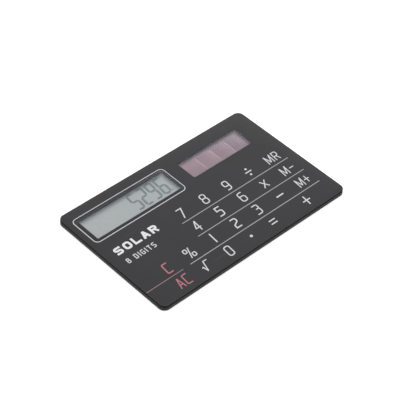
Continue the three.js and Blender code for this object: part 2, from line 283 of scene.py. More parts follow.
# ---------------------------------------------------------------------------------------------
# lettering: stroke forms in a box w x h, line width s, centred on the origin
# ---------------------------------------------------------------------------------------------
def glyph(ch, w, h, s):
    """list of (path, closed) and ('dot', x, y, r)"""
    a, b = (w - s) / 2, (h - s) / 2       # centreline half sizes
    k = min(a, b)
    R = 0.72 * k
    H = h / 2
    W = w / 2
    if ch == "0":
        return [([(-a, -b, R), (a, -b, R), (a, b, R), (-a, b, R)], True)]
    if ch == "1":
        return [([(0, -H), (0, H)], False)]
    if ch == "2":
        return [([(-0.92 * W, b), (a, b, R), (a, 0.22 * b, R), (-a, -0.34 * b, R * 0.8), (-a, -b, s * 0.3), (0.95 * W, -b)], False)]
    if ch == "3":
        return [
            ([(-0.85 * W, b), (a * 0.96, b, R * 0.8), (a * 0.96, 0.12 * b, R * 0.7), (-0.30 * W, 0.12 * b)], False),
            ([(-0.30 * W, 0.12 * b), (a, 0.12 * b, R * 0.8), (a, -b, R), (-W, -b)], False),
        ]
    if ch == "4":
        x = 0.50 * a
        return [
            ([(x * 0.95, H), (-a, -0.40 * b), (W, -0.40 * b)], False),
            ([(x, H), (x, -H)], False),
        ]
    if ch == "5":
        return [([(0.95 * W, b), (-0.82 * a, b, s * 0.2), (-0.92 * a, 0.20 * b, s * 0.2), (a, 0.20 * b, R), (a, -b, R), (-W, -b)], False)]
    if ch == "6":
        return [
            ([(0.75 * W, b), (-a, b, R), (-a, -b, R), (a, -b, R), (a, 0.18 * b, R), (-a, 0.18 * b)], False),
        ]
    if ch == "7":
        return [([(-W, b), (a, b), (-0.40 * W, -H)], False)]
    if ch == "8":
        return [
            ([(-a * 0.90, 0.08 * b, R * 0.9), (a * 0.90, 0.08 * b, R * 0.9), (a * 0.90, b, R * 0.9), (-a * 0.90, b, R * 0.9)], True),
            ([(-a, -b, R), (a, -b, R), (a, 0.08 * b, R), (-a, 0.08 * b, R)], True),
        ]
    if ch == "9":
        return [
            ([(a, -0.14 * b), (-a, -0.14 * b, R), (-a, b, R), (a, b, R), (a, -b, R), (-0.75 * W, -b)], False),
        ]
    if ch == ".":
        return [("dot", 0, 0, w / 2)]
    if ch == "=":
        return [([(-W, 0.78), (W, 0.78)], False), ([(-W, -0.78), (W, -0.78)], False)]
    if ch == "+":
        return [([(-W, 0), (W, 0)], False), ([(0, -H), (0, H)], False)]
    if ch == "-":
        return [([(-W, 0), (W, 0)], False)]
    if ch == "/":
        return [([(-W, 0), (W, 0)], False), ("dot", 0, 0.40 * h, 0.46), ("dot", 0, -0.40 * h, 0.46)]
    if ch == "x":
        return [([(-a, -b), (a, b)], False), ([(-a, b), (a, -b)], False)]
    if ch == "M":
        return [([(-a, -H), (-a, H * 0.96), (0, -0.72 * H), (a, H * 0.96), (a, -H)], False)]
    if ch == "R":
        return [
            ([(-a, -H), (-a, b, s * 0.2), (a, b, R), (a, -0.05 * b, R), (-a, -0.05 * b)], False),
            ([(0.05 * W, -0.05 * b), (0.95 * a, -H)], False),
        ]
    if ch == "C":
        return [([(0.95 * W, b), (-a, b, 0.6 * R), (-a, -b, 0.6 * R), (0.95 * W, -b)], False)]
    if ch == "A":
        return [
            ([(-a, -H), (0, H * 0.93)], False),
            ([(0, H * 0.93), (a, -H)], False),
            ([(-0.66 * a, -0.36 * H), (0.66 * a, -0.36 * H)], False),
        ]
    if ch == "S":
        return [([(0.92 * W, b), (-a, b, R), (-a, 0.02 * b, R), (a, 0.02 * b, R), (a, -b, R), (-0.92 * W, -b)], False)]
    if ch == "O":
        return [([(-a, -b, R), (a, -b, R), (a, b, R), (-a, b, R)], True)]
    if ch == "L":
        return [([(-a, H), (-a, -b, s * 0.2), (W, -b)], False)]
    if ch == "D":
        return [([(-a, -b, s * 0.2), (a, -b, R), (a, b, R), (-a, b, s * 0.2)], True)]
    if ch == "I":
        return [([(0, -H), (0, H)], False)]
    if ch == "G":
        return [([(0.92 * W, b), (-a, b, R), (-a, -b, R), (a, -b, R * 0.6), (a, 0.0), (0.1 * W, 0.0)], False)]
    if ch == "T":
        return [([(-W, b), (W, b)], False), ([(0, b), (0, -H)], False)]
    if ch == "%":
        lw, lh = 0.44 * w, 0.43 * h
        la, lb = (lw - s) / 2, (lh - s) / 2
        out = []
        for cx, cy in ((-W + lw / 2, H - lh / 2), (W - lw / 2, -H + lh / 2)):
            out.append(([(cx - la, cy - lb, la * 0.7), (cx + la, cy - lb, la * 0.7), (cx + la, cy + lb, la * 0.7), (cx - la, cy + lb, la * 0.7)], True))
        out.append(([(-0.36 * W, -H), (0.36 * W, H)], False))
        return out
    if ch == "r":  # root sign
        return [([(-W, -0.10 * H), (-0.72 * W, 0.02 * H), (-0.40 * W, -0.93 * H), (0.12 * W, b), (W, b)], False)]
    raise ValueError(ch)


SLANT = math.tan(math.radians(5.0))


def lettering(ch, x, y, w, h, s, slant=SLANT):
    polys = []
    for item in glyph(ch, w, h, s):
        if item[0] == "dot":
            polys.append([(p[0] + x + p[1] * slant, p[1] + y) for p in disc(item[1], item[2], item[3])])
            continue
        path, closed = item
        for quad in stroke(fillet(path, closed, least=0.52 * s), s, closed):
            polys.append([(p[0] + x + p[1] * slant, p[1] + y) for p in quad])
    return polys


# ---------------------------------------------------------------------------------------------
# materials, all node based
# ---------------------------------------------------------------------------------------------
def lin(c):
    c = c / 255.0
    return c / 12.92 if c <= 0.04045 else ((c + 0.055) / 1.055) ** 2.4


def srgb(r, g, b):
    return (lin(r), lin(g), lin(b), 1.0)


def scaled(c, k):
    return (min(1.0, c[0] * k), min(1.0, c[1] * k), min(1.0, c[2] * k), 1.0)


class Mat:
    def __init__(self, name):
        self.m = bpy.data.materials.new(name)
        self.m.use_nodes = True
        self.t = self.m.node_tree
        self.t.nodes.clear()
        self.out = self.add("ShaderNodeOutputMaterial")
        self.coord = self.add("ShaderNodeTexCoord").outputs["Object"]

    def add(self, kind, **props):
        n = self.t.nodes.new(kind)
        for k, v in props.items():
            setattr(n, k, v)
        return n

    def put(self, socket, value):
        if isinstance(value, bpy.types.NodeSocket):
            self.t.links.new(value, socket)
        else:
            socket.default_value = value

    def noise(self, size_mm, detail=2.0, rough=0.5, stretch=None, offset=(0, 0, 0)):
        n = self.add("ShaderNodeTexNoise")
        src = self.coord
        if stretch or any(offset):
            mp = self.add("ShaderNodeMapping")
            self.put(mp.inputs["Vector"], src)
            mp.inputs["Scale"].default_value = stretch or (1, 1, 1)
            mp.inputs["Location"].default_value = offset
            src = mp.outputs["Vector"]
        self.put(n.inputs["Vector"], src)
        n.inputs["Scale"].default_value = 1000.0 / size_mm
        n.inputs["Detail"].default_value = detail
        n.inputs["Roughness"].default_value = rough
        return n.outputs["Fac"]

    def voronoi(self, size_mm, feature="F1"):
        n = self.add("ShaderNodeTexVoronoi", feature=feature)
        self.put(n.inputs["Vector"], self.coord)
        n.inputs["Scale"].default_value = 1000.0 / size_mm
        return n.outputs["Distance"]

    def span(self, value, lo, hi, a, b, smooth=False):
        n = self.add("ShaderNodeMapRange")
        if smooth:
            n.interpolation_type = "SMOOTHSTEP"
        self.put(n.inputs["Value"], value)
        n.inputs["From Min"].default_value = lo
        n.inputs["From Max"].default_value = hi
        n.inputs["To Min"].default_value = a
        n.inputs["To Max"].default_value = b
        return n.outputs["Result"]

    def math(self, op, a, b=None, c=None):
        n = self.add("ShaderNodeMath", operation=op)
        self.put(n.inputs[0], a)
        if b is not None:
            self.put(n.inputs[1], b)
        if c is not None:
            self.put(n.inputs[2], c)
        return n.outputs[0]

    def mix(self, fac, a, b, blend="MIX"):
        n = self.add("ShaderNodeMix", data_type="RGBA", blend_type=blend)
        self.put(n.inputs[0], fac)
        self.put(n.inputs[6], a)
        self.put(n.inputs[7], b)
        return n.outputs[2]

    def xyz(self):
        n = self.add("ShaderNodeSeparateXYZ")
        self.put(n.inputs[0], self.coord)
        return n.outputs[0], n.outputs[1], n.outputs[2]

    def bump(self, height, strength, distance_mm, normal=None):
        n = self.add("ShaderNodeBump")
        n.inputs["Strength"].default_value = strength
        n.inputs["Distance"].default_value = distance_mm * MM
        self.put(n.inputs["Height"], height)
        if normal is not None:
            self.put(n.inputs["Normal"], normal)
        return n.outputs["Normal"]

    def principled(self, color, rough, specular=0.5, metallic=0.0, normal=None, **more):
        p = self.add("ShaderNodeBsdfPrincipled")
        self.put(p.inputs["Base Color"], color)
        self.put(p.inputs["Roughness"], rough)
        p.inputs["Metallic"].default_value = metallic
        p.inputs["Specular IOR Level"].default_value = specular
        for k, v in more.items():
            p.inputs[k.replace("_", " ")].default_value = v
        if normal is not None:
            self.put(p.inputs["Normal"], normal)
        return p.outputs["BSDF"]

    def finish(self, shader):
        self.put(self.out.inputs["Surface"], shader)
        return self.m


def edge_distance(m, cx, cy, hx, hy, r):
    """signed distance in metres inside a rounded rectangle, as nodes (positive inside)"""
    x, y, _ = m.xyz()
    dx = m.math("SUBTRACT", m.math("ABSOLUTE", m.math("SUBTRACT", x, cx * MM)), (hx - r) * MM)
    dy = m.math("SUBTRACT", m.math("ABSOLUTE", m.math("SUBTRACT", y, cy * MM)), (hy - r) * MM)
    px = m.math("MAXIMUM", dx, 0.0)
    py = m.math("MAXIMUM", dy, 0.0)
    outer = m.math("SQRT", m.math("ADD", m.math("MULTIPLY", px, px), m.math("MULTIPLY", py, py)))
    inner = m.math("MINIMUM", m.math("MAXIMUM", dx, dy), 0.0)
    d = m.math("ADD", outer, inner)
    return m.math("SUBTRACT", r * MM, d)


FILM_BASE = srgb(37.5, 35.5, 38.0)
CASE_BASE = srgb(37, 36, 38)


def film_material():
    m = Mat("printed_face_film")
    blotch = m.noise(14.0, 3.0, 0.55)
    cloud = m.noise(2.2, 3.0, 0.6, offset=(0.03, 0.01, 0))
    grain = m.noise(0.16, 2.0, 0.6)
    col = m.mix(m.span(blotch, 0.35, 0.65, 0.0, 1.0), scaled(FILM_BASE, 0.95), scaled(FILM_BASE, 1.06))
    col = m.mix(m.span(cloud, 0.3, 0.7, 0.0, 0.14), col, srgb(52, 50, 54))
    # polished rim where the sheet rubs in a pocket
    d = edge_distance(m, 0, 0, 42.75, 26.95, 2.45)
    rim = m.span(d, 0.0, 0.5 * MM, 1.0, 0.0, smooth=True)
    worn = m.math("MULTIPLY", rim, m.span(m.noise(1.3, 4.0, 0.7, offset=(0.2, 0.3, 0)), 0.42, 0.62, 0.0, 1.0))
    col = m.mix(m.math("MULTIPLY", worn, 0.22), col, srgb(96, 95, 98))
    # hairlines
    s1 = m.noise(0.9, 2.0, 0.5, stretch=(0.025, 1.0, 1.0), offset=(0.011, 0.02, 0))
    hair = m.span(s1, 0.735, 0.76, 0.0, 1.0)
    col = m.mix(m.math("MULTIPLY", hair, 0.10), col, srgb(120, 119, 122))
    rough = m.math("ADD", m.span(cloud, 0.3, 0.7, 0.44, 0.52), m.math("MULTIPLY", worn, -0.10))
    nor = m.bump(grain, 0.22, 0.012)
    nor = m.bump(m.noise(0.9, 2.0, 0.5, offset=(0.3, 0.1, 0)), 0.10, 0.012, nor)
    return m.finish(m.principled(col, rough, specular=0.30, normal=nor))


def film_edge_shade_material():
    m = Mat("cut_film_edge_painted_shade")
    streak = m.noise(0.5, 3.0, 0.6, stretch=(1.0, 1.0, 6.0))
    # painted shade: the cut edge and the rounded shoulder of the film are near-black, much darker than the face print.
    # This stands in for the shadow line along the film's edge; the cut edge of the black sheet is also partly dark in
    # itself
    col = m.mix(m.span(streak, 0.3, 0.7, 0.0, 1.0), srgb(7, 7, 8), srgb(15, 15, 16))
    nor = m.bump(m.noise(0.2, 2.0, 0.6, stretch=(1.0, 1.0, 0.2)), 0.3, 0.01)
    return m.finish(m.principled(col, m.span(streak, 0.3, 0.7, 0.55, 0.7), specular=0.08, normal=nor))


def window_wall_material():
    m = Mat("clear_window_wall")
    n = m.noise(0.4, 2.0, 0.5)
    col = m.mix(m.span(n, 0.3, 0.7, 0.0, 1.0), srgb(94, 93, 97), srgb(102, 101, 105))
    return m.finish(m.principled(col, m.span(n, 0.3, 0.7, 0.35, 0.45), specular=0.4))


def case_material():
    m = Mat("moulded_case_plastic")
    blotch = m.noise(6.0, 3.0, 0.6)
    grain = m.noise(0.12, 3.0, 0.65)
    col = m.mix(m.span(blotch, 0.35, 0.65, 0.0, 1.0), scaled(CASE_BASE, 0.93), scaled(CASE_BASE, 1.08))
    _, _, z = m.xyz()
    d = edge_distance(m, 0, 0, 42.8, 27.0, 2.5)
    outer = m.span(d, -0.02 * MM, 0.16 * MM, 1.0, 0.0, smooth=True)
    # the two long rounded edges catch wear
    high = m.span(z, 1.42 * MM, 1.56 * MM, 0.0, 1.0, smooth=True)
    low = m.span(z, 0.14 * MM, 0.36 * MM, 1.0, 0.0, smooth=True)
    edge = m.math("MULTIPLY", outer, m.math("MAXIMUM", high, low))
    worn = m.math("MULTIPLY", edge, m.span(m.noise(0.7, 4.0, 0.7, offset=(0.1, 0.2, 0.3)), 0.40, 0.60, 0.1, 1.0))
    col = m.mix(m.math("MULTIPLY", worn, 0.35), col, srgb(98, 97, 99))
    scuff = m.span(m.noise(0.6, 3.0, 0.6, stretch=(1.0, 1.0, 9.0), offset=(0.05, 0.0, 0.1)), 0.64, 0.70, 0.0, 1.0)
    col = m.mix(m.math("MULTIPLY", scuff, 0.14), col, srgb(110, 109, 111))
    rough = m.math("ADD", m.span(blotch, 0.3, 0.7, 0.46, 0.54), m.math("MULTIPLY", worn, -0.12))
    nor = m.bump(grain, 0.35, 0.012)
    return m.finish(m.principled(col, rough, specular=0.16, normal=nor))


def back_material():
    m = Mat("back_sheet_lacquer")
    blotch = m.noise(11.0, 3.0, 0.6, offset=(0.4, 0.1, 0.2))
    brush = m.noise(0.12, 3.0, 0.6, stretch=(0.03, 1.0, 1.0))
    spark = m.noise(0.10, 2.0, 0.6)
    base = srgb(46, 45, 47)
    col = m.mix(m.span(blotch, 0.35, 0.65, 0.0, 1.0), scaled(base, 0.93), scaled(base, 1.07))
    d = edge_distance(m, 0, 0, 42.0, 26.2, 1.7)
    rim = m.span(d, 0.0, 0.30 * MM, 1.0, 0.0, smooth=True)
    worn = m.math("MULTIPLY", rim, m.span(m.noise(1.0, 4.0, 0.7, offset=(0.5, 0.3, 0)), 0.42, 0.60, 0.0, 1.0))
    col = m.mix(m.math("MULTIPLY", worn, 0.5), col, srgb(128, 127, 129))
    sc = m.span(m.noise(1.1, 2.0, 0.5, stretch=(0.03, 1.0, 1.0), offset=(0.21, 0.12, 0)), 0.70, 0.73, 0.0, 1.0)
    sc2 = m.span(m.noise(1.3, 2.0, 0.5, stretch=(1.0, 0.04, 1.0), offset=(0.11, 0.32, 0)), 0.72, 0.75, 0.0, 1.0)
    scr = m.math("MAXIMUM", sc, sc2)
    col = m.mix(m.math("MULTIPLY", scr, 0.20), col, srgb(120, 119, 121))
    rough = m.math("ADD", m.span(blotch, 0.3, 0.7, 0.38, 0.46), m.math("MULTIPLY", scr, 0.1))
    nor = m.bump(brush, 0.12, 0.008)
    nor = m.bump(spark, 0.20, 0.008, nor)
    return m.finish(m.principled(col, rough, specular=0.45, normal=nor))


def ink_material(name, base, dark):
    m = Mat(name)
    body = m.noise(0.45, 3.0, 0.6, offset=(0.02, 0.07, 0))
    pin = m.noise(0.09, 2.0, 0.6)
    col = m.mix(m.span(body, 0.3, 0.7, 0.0, 1.0), scaled(base, 0.94), scaled(base, 1.04))
    col = m.mix(m.span(pin, 0.68, 0.78, 0.0, 0.35), col, dark)
    nor = m.bump(pin, 0.25, 0.006)
    return m.finish(m.principled(col, m.span(body, 0.3, 0.7, 0.42, 0.52), specular=0.3, normal=nor))


def carbon_material():
    m = Mat("printed_carbon")
    g = m.noise(0.12, 3.0, 0.7)
    col = m.mix(m.span(g, 0.3, 0.7, 0.0, 1.0), srgb(26, 26, 27), srgb(44, 44, 46))
    return m.finish(m.principled(col, m.span(g, 0.3, 0.7, 0.55, 0.75), specular=0.4, normal=m.bump(g, 0.4, 0.01)))


def clear_pane_material(name, tint, gloss_rough, density, gloss_level=1.0):
    """clear sheet: mostly see-through, with a Fresnel gloss and a faint body tint"""
    m = Mat(name)
    clear = m.add("ShaderNodeBsdfTransparent")
    clear.inputs["Color"].default_value = tint
    body = m.principled(srgb(150, 155, 155), m.span(m.noise(3.0, 2.0, 0.5), 0.3, 0.7, gloss_rough, gloss_rough + 0.06), specular=0.5)
    gloss = m.add("ShaderNodeBsdfGlossy")
    gloss.inputs["Color"].default_value = (0.9, 0.92, 0.94, 1)
    gloss.inputs["Roughness"].default_value = gloss_rough
    nor = m.bump(m.noise(2.5, 2.0, 0.5), 0.04, 0.01)
    m.put(gloss.inputs["Normal"], nor)
    facing = m.add("ShaderNodeLayerWeight")
    facing.inputs["Blend"].default_value = 0.5
    fres = m.math("MULTIPLY", m.math("POWER", m.span(facing.outputs["Facing"], 0.36, 1.0, 0.0, 1.0), 2.2), gloss_level)
    base = m.add("ShaderNodeMixShader")
    m.put(base.inputs[0], m.span(facing.outputs["Facing"], 0.36, 0.8, 0.0, density * 2.0))
    m.put(base.inputs[1], clear.outputs[0])
    m.put(base.inputs[2], body)
    top = m.add("ShaderNodeMixShader")
    m.put(top.inputs[0], fres)
    m.put(top.inputs[1], base.outputs[0])
    m.put(top.inputs[2], gloss.outputs[0])
    return m.finish(top.outputs[0])


def glass_material(name, tint, density, color, rough=0.12):
    """inner clear layer, seen through with almost no gloss of its own"""
    m = Mat(name)
    clear = m.add("ShaderNodeBsdfTransparent")
    clear.inputs["Color"].default_value = tint
    body = m.principled(m.mix(m.span(m.noise(4.0, 2.0), 0.3, 0.7, 0.0, 1.0), scaled(color, 0.96), scaled(color, 1.04)), rough, specular=0.5)
    facing = m.add("ShaderNodeLayerWeight")
    facing.inputs["Blend"].default_value = 0.5
    mx = m.add("ShaderNodeMixShader")
    m.put(mx.inputs[0], m.span(facing.outputs["Facing"], 0.36, 0.8, 0.0, density * 2.0))
    m.put(mx.inputs[1], clear.outputs[0])
    m.put(mx.inputs[2], body)
    return m.finish(mx.outputs[0])


def lcd_shade(m, col, strength=1.0):
    """soft shade of the window rim on the far and right border of the display"""
    x, y, _ = m.xyz()
    far = m.math("ADD", m.span(y, 18.8 * MM, 21.2 * MM, 0.0, 0.675 * strength, smooth=True), m.span(y, 17.4 * MM, 19.0 * MM, 0.0, 0.06 * strength))
    side = m.span(x, -2.9 * MM, -0.6 * MM, 0.0, 0.62 * strength, smooth=True)
    return m.mix(m.math("MAXIMUM", far, side), col, srgb(58, 66, 70))


def lcd_material():
    m = Mat("liquid_crystal_ground")
    soft = m.noise(5.0, 3.0, 0.5)
    fine = m.noise(0.10, 2.0, 0.6)
    x, y, _ = m.xyz()
    base = m.mix(m.span(x, -34 * MM, -6 * MM, 0.0, 1.0), srgb(173.2, 175.4, 175.6), srgb(170.5, 172.6, 177.5))
    col = m.mix(m.span(soft, 0.3, 0.7, 0.0, 1.0), base, (0, 0, 0, 1))
    col = m.mix(0.06, base, col)
    col = m.mix(m.span(fine, 0.35, 0.65, 0.0, 0.10), col, srgb(205, 211, 208))
    col = lcd_shade(m, col)
    return m.finish(m.principled(col, m.span(fine, 0.3, 0.7, 0.40, 0.55), specular=0.3, normal=m.bump(fine, 0.1, 0.005)))


def segment_material(name, color, k, shade):
    m = Mat(name)
    n = m.noise(0.5, 3.0, 0.6)
    col = m.mix(m.span(n, 0.3, 0.7, 0.0, 1.0), scaled(color, 1 - k), scaled(color, 1 + k))
    col = lcd_shade(m, col, shade)
    return m.finish(m.principled(col, m.span(n, 0.3, 0.7, 0.4, 0.5), specular=0.3))


def mask_material():
    m = Mat("black_display_mask")
    n = m.noise(1.2, 3.0, 0.6)
    col = m.mix(m.span(n, 0.3, 0.7, 0.0, 1.0), srgb(53, 54, 57), srgb(59, 60, 64))
    x, y, _ = m.xyz()
    # painted light: the border is lighter towards the far and the right edge. This stands in for light let in at the
    # clear pane's edges, where the recess would otherwise shade it
    col = m.mix(m.span(y, 20.6 * MM, 21.6 * MM, 0.0, 0.9, smooth=True), col, srgb(75, 76, 80))
    col = m.mix(m.span(x, -1.0 * MM, -0.4 * MM, 0.0, 0.9, smooth=True), col, srgb(86, 86, 91))
    return m.finish(m.principled(col, m.span(n, 0.3, 0.7, 0.56, 0.64), specular=0.12, normal=m.bump(m.noise(0.2, 2.0), 0.1, 0.005)))


def solar_borders(m, col, strength):
    """greyer near the long borders, and the soft shade under the far and right rim"""
    x, y, _ = m.xyz()
    low = m.span(y, 12.0 * MM, 14.2 * MM, 0.6, 0.0, smooth=True)
    high = m.span(y, 18.3 * MM, 19.7 * MM, 0.0, 0.8, smooth=True)
    right = m.span(x, 31.6 * MM, 33.4 * MM, 0.0, 0.8, smooth=True)
    grey = m.math("MAXIMUM", m.math("MAXIMUM", low, high), right)
    col = m.mix(m.math("MULTIPLY", grey, strength), col, srgb(148, 141, 146))
    far = m.span(y, 19.0 * MM, 20.6 * MM, 0.0, 0.40, smooth=True)
    side = m.span(x, 32.5 * MM, 34.4 * MM, 0.0, 0.36, smooth=True)
    return m.mix(m.math("MAXIMUM", far, side), col, srgb(74, 75, 80))


def solar_material():
    m = Mat("amorphous_silicon_cell")
    cloud = m.noise(3.6, 3.0, 0.55, stretch=(1.0, 0.7, 1.0), offset=(0.015, 0.02, 0))
    big = m.noise(9.0, 2.0, 0.5, offset=(0.05, 0.02, 0))
    rib = m.noise(0.22, 2.0, 0.5, stretch=(1.0, 0.05, 1.0))
    col = m.mix(m.span(cloud, 0.32, 0.68, 0.0, 1.0), srgb(154, 138, 145), srgb(155, 136, 143))
    col = m.mix(m.span(big, 0.35, 0.65, 0.0, 0.2), col, srgb(151, 138, 145))
    x, y, _ = m.xyz()
    col = m.mix(m.span(x, 16 * MM, 34 * MM, 0.0, 1.0, smooth=True), col, srgb(140, 128, 135))
    col = m.mix(m.span(rib, 0.4, 0.6, 0.0, 0.08), col, srgb(160, 146, 152))
    col = solar_borders(m, col, 1.0)
    return m.finish(m.principled(col, m.span(cloud, 0.3, 0.7, 0.30, 0.40), specular=0.5, normal=m.bump(rib, 0.1, 0.004)))


def solar_gap_material():
    m = Mat("cell_scribe_line")
    n = m.noise(0.4, 3.0, 0.6)
    col = m.mix(m.span(n, 0.3, 0.7, 0.0, 1.0), srgb(171, 157, 164), srgb(178, 166, 171))
    col = solar_borders(m, col, 0.8)
    return m.finish(m.principled(col, m.span(n, 0.3, 0.7, 0.35, 0.5), specular=0.4, normal=m.bump(n, 0.2, 0.004)))


def solar_margin_material():
    m = Mat("cell_margin_grey")
    n = m.noise(0.9, 3.0, 0.6)
    col = m.mix(m.span(n, 0.3, 0.7, 0.0, 1.0), srgb(134, 127, 132), srgb(140, 133, 138))
    col = solar_borders(m, col, 0.3)
    return m.finish(m.principled(col, m.span(n, 0.3, 0.7, 0.35, 0.5), specular=0.4, normal=m.bump(n, 0.2, 0.004)))


def board_material():
    m = Mat("circuit_board_laminate")
    weave = m.add("ShaderNodeTexWave", wave_type="BANDS", bands_direction="X")
    m.put(weave.inputs["Vector"], m.coord)
    weave.inputs["Scale"].default_value = 900.0
    weave2 = m.add("ShaderNodeTexWave", wave_type="BANDS", bands_direction="Y")
    m.put(weave2.inputs["Vector"], m.coord)
    weave2.inputs["Scale"].default_value = 900.0
    w = m.math("MULTIPLY", weave.outputs["Fac"], weave2.outputs["Fac"])
    col = m.mix(m.span(w, 0.0, 1.0, 0.0, 1.0), srgb(52, 84, 58), srgb(70, 104, 72))
    col = m.mix(m.span(m.noise(7.0, 3.0), 0.4, 0.6, 0.0, 0.3), col, srgb(44, 74, 52))
    return m.finish(m.principled(col, m.span(w, 0.0, 1.0, 0.32, 0.45), specular=0.5, normal=m.bump(w, 0.2, 0.01)))


def plain(name, a, b, size, rough, specular=0.5, metallic=0.0, bump=0.2):
    m = Mat(name)
    n = m.noise(size, 3.0, 0.6)
    col = m.mix(m.span(n, 0.3, 0.7, 0.0, 1.0), a, b)
    return m.finish(
        m.principled(col, m.span(n, 0.3, 0.7, rough - 0.05, rough + 0.05), specular=specular, metallic=metallic, normal=m.bump(m.noise(size * 0.2, 2.0), bump, 0.006))
    )


FILM = film_material()
FILM_EDGE_SHADE = film_edge_shade_material()
WINDOW_WALL = window_wall_material()
CASE = case_material()
BACK = back_material()
INK_WHITE = ink_material("white_screen_ink", srgb(202, 202, 204), srgb(140, 139, 142))
INK_WORD = ink_material("white_word_ink", srgb(218, 218, 220), srgb(160, 159, 162))
INK_LINE = ink_material("grey_line_ink", srgb(158, 157, 160), srgb(118, 117, 120))
INK_LINE_RED = ink_material("red_line_ink", srgb(144, 117, 123), srgb(106, 84, 90))
INK_RED = ink_material("red_screen_ink", srgb(176, 109, 122), srgb(118, 78, 88))
CARBON = carbon_material()
PANE = clear_pane_material("clear_display_pane", (0.992, 0.995, 0.995, 1), 0.12, 0.004, 0.8)
SOLAR_PANE = clear_pane_material("tinted_solar_pane", (0.985, 0.97, 0.978, 1), 0.14, 0.01, 0.8)
GLASS = glass_material("display_glass", (0.993, 0.997, 0.994, 1), 0.004, srgb(180, 190, 188))
POLARISER = glass_material("polariser_sheet", (0.982, 0.99, 0.986, 1), 0.008, srgb(150, 158, 156))
SOLAR_GLASS = glass_material("solar_glass", (0.98, 0.97, 0.975, 1), 0.03, srgb(150, 140, 145))
LCD = lcd_material()
SEG_ON = segment_material("display_segment_dark", srgb(122, 130, 132), 0.05, 0.8)
SEG_OFF = segment_material("display_segment_faint", srgb(170.8, 173.2, 174.0), 0.01, 1.0)
MASK = mask_material()
CELL = solar_material()
CELL_GAP = solar_gap_material()
CELL_MARGIN = solar_margin_material()
BOARD = board_material()
ADHESIVE = plain("acrylic_adhesive", srgb(150, 146, 134), srgb(170, 166, 152), 1.5, 0.45)
SPACER = plain("spacer_sheet_pet", srgb(176, 176, 170), srgb(196, 196, 190), 2.0, 0.40)
RESIN = plain("potting_resin", srgb(16, 16, 17), srgb(26, 26, 28), 1.2, 0.22, bump=0.3)
CERAMIC = plain("chip_ceramic", srgb(128, 104, 80), srgb(150, 124, 98), 0.6, 0.45)
REFLECTOR = plain("display_reflector_foil", srgb(168, 172, 170), srgb(190, 194, 192), 0.8, 0.30, metallic=0.6)
REAR_GLASS = plain("rear_glass_grey", srgb(150, 160, 156), srgb(164, 172, 168), 3.0, 0.20)
RIBBON = plain("ribbon_film", srgb(120, 84, 44), srgb(146, 104, 58), 1.0, 0.35)
CELL_BACK = plain("cell_back_layer", srgb(92, 66, 74), srgb(108, 80, 88), 2.0, 0.35)
LEAD_RED = plain("red_wire_sleeve", srgb(140, 34, 30), srgb(166, 46, 40), 0.6, 0.40)
LEAD_BLACK = plain("black_wire_sleeve", srgb(20, 20, 21), srgb(34, 34, 36), 0.6, 0.40)

# ---------------------------------------------------------------------------------------------
# carried-over CAD nodes: their shape stays, they get a finish, and three of them get soft shading
# ---------------------------------------------------------------------------------------------
CAD_FINISH = {
    "case_frame": CASE,
    "back_cover": BACK,
    "back_adhesive": ADHESIVE,
    "face_adhesive": ADHESIVE,
    "circuit_board": BOARD,
    "chip_resin": RESIN,
    "chip_capacitor_1": CERAMIC,
    "chip_capacitor_2": CERAMIC,
    "chip_resistor": CERAMIC,
    "spacer_sheet": SPACER,
    "display_reflector": REFLECTOR,
    "display_rear_glass": REAR_GLASS,
    "display_front_glass": GLASS,
    "display_polariser": POLARISER,
    "display_ribbon": RIBBON,
    "solar_cell_layer": CELL_BACK,
    "solar_cell_glass": SOLAR_GLASS,
    "solar_lead_positive": LEAD_RED,
    "solar_lead_negative": LEAD_BLACK,
}
for name, material in CAD_FINISH.items():
    o = nodes[name]
    o.data.materials.clear()
    o.data.materials.append(material)


def soften(name, angle, bevel=0.0, segments=2):
    """weld the imported triangles, round the hard edges slightly, and shade smoothly"""
    o = nodes[name]
    for p in o.data.polygons:
        p.use_smooth = True
    w = o.modifiers.new("weld", "WELD")
    w.merge_threshold = 0.0005 * MM
    if bevel:
        b = o.modifiers.new("bevel", "BEVEL")
        b.width = bevel * MM
        b.segments = segments
        b.limit_method = "ANGLE"
        b.angle_limit = math.radians(angle)
        b.use_clamp_overlap = True
        b.harden_normals = True
    else:
        e = o.modifiers.new("split", "EDGE_SPLIT")
        e.split_angle = math.radians(angle)
        e.use_edge_sharp = False
    n = o.modifiers.new("normals", "WEIGHTED_NORMAL")
    n.mode = "FACE_AREA"
    n.weight = 60
    n.keep_sharp = True


soften("case_frame", 42)
soften("back_cover", 40, bevel=0.05, segments=3)
soften("chip_resin", 40)

# ---------------------------------------------------------------------------------------------
# face film: one printed sheet with two window apertures and the 23 press zones
# ---------------------------------------------------------------------------------------------
KEY_R = 1.6
FLEX = 0.65          # width of the ringed band between each zone's edge and its flat centre
ZONES = {}
for name in nodes:
    if name.startswith("key_"):
        lo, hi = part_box(name)
        ZONES[name] = (lo.x / MM, lo.y / MM, hi.x / MM, hi.y / MM)

lo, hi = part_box("display_window")
DISPLAY = (lo.x / MM, lo.y / MM, hi.x / MM, hi.y / MM)
lo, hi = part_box("solar_window")
SOLAR = (lo.x / MM, lo.y / MM, hi.x / MM, hi.y / MM)
lo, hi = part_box("face_film")
# clear areas left in the print
DISPLAY = (DISPLAY[0], DISPLAY[1], DISPLAY[2], DISPLAY[3] - 0.25)
SOLAR = (SOLAR[0], SOLAR[1], SOLAR[2] + 0.30, SOLAR[3] + 0.35)
FILM_BOX = (lo.x / MM, lo.y / MM, hi.x / MM, hi.y / MM)
FILM_R = 2.45
DISPLAY_R = 1.45
SOLAR_R = 0.75


def grown(box, by):
    return (box[0] - by, box[1] - by, box[2] + by, box[3] + by)


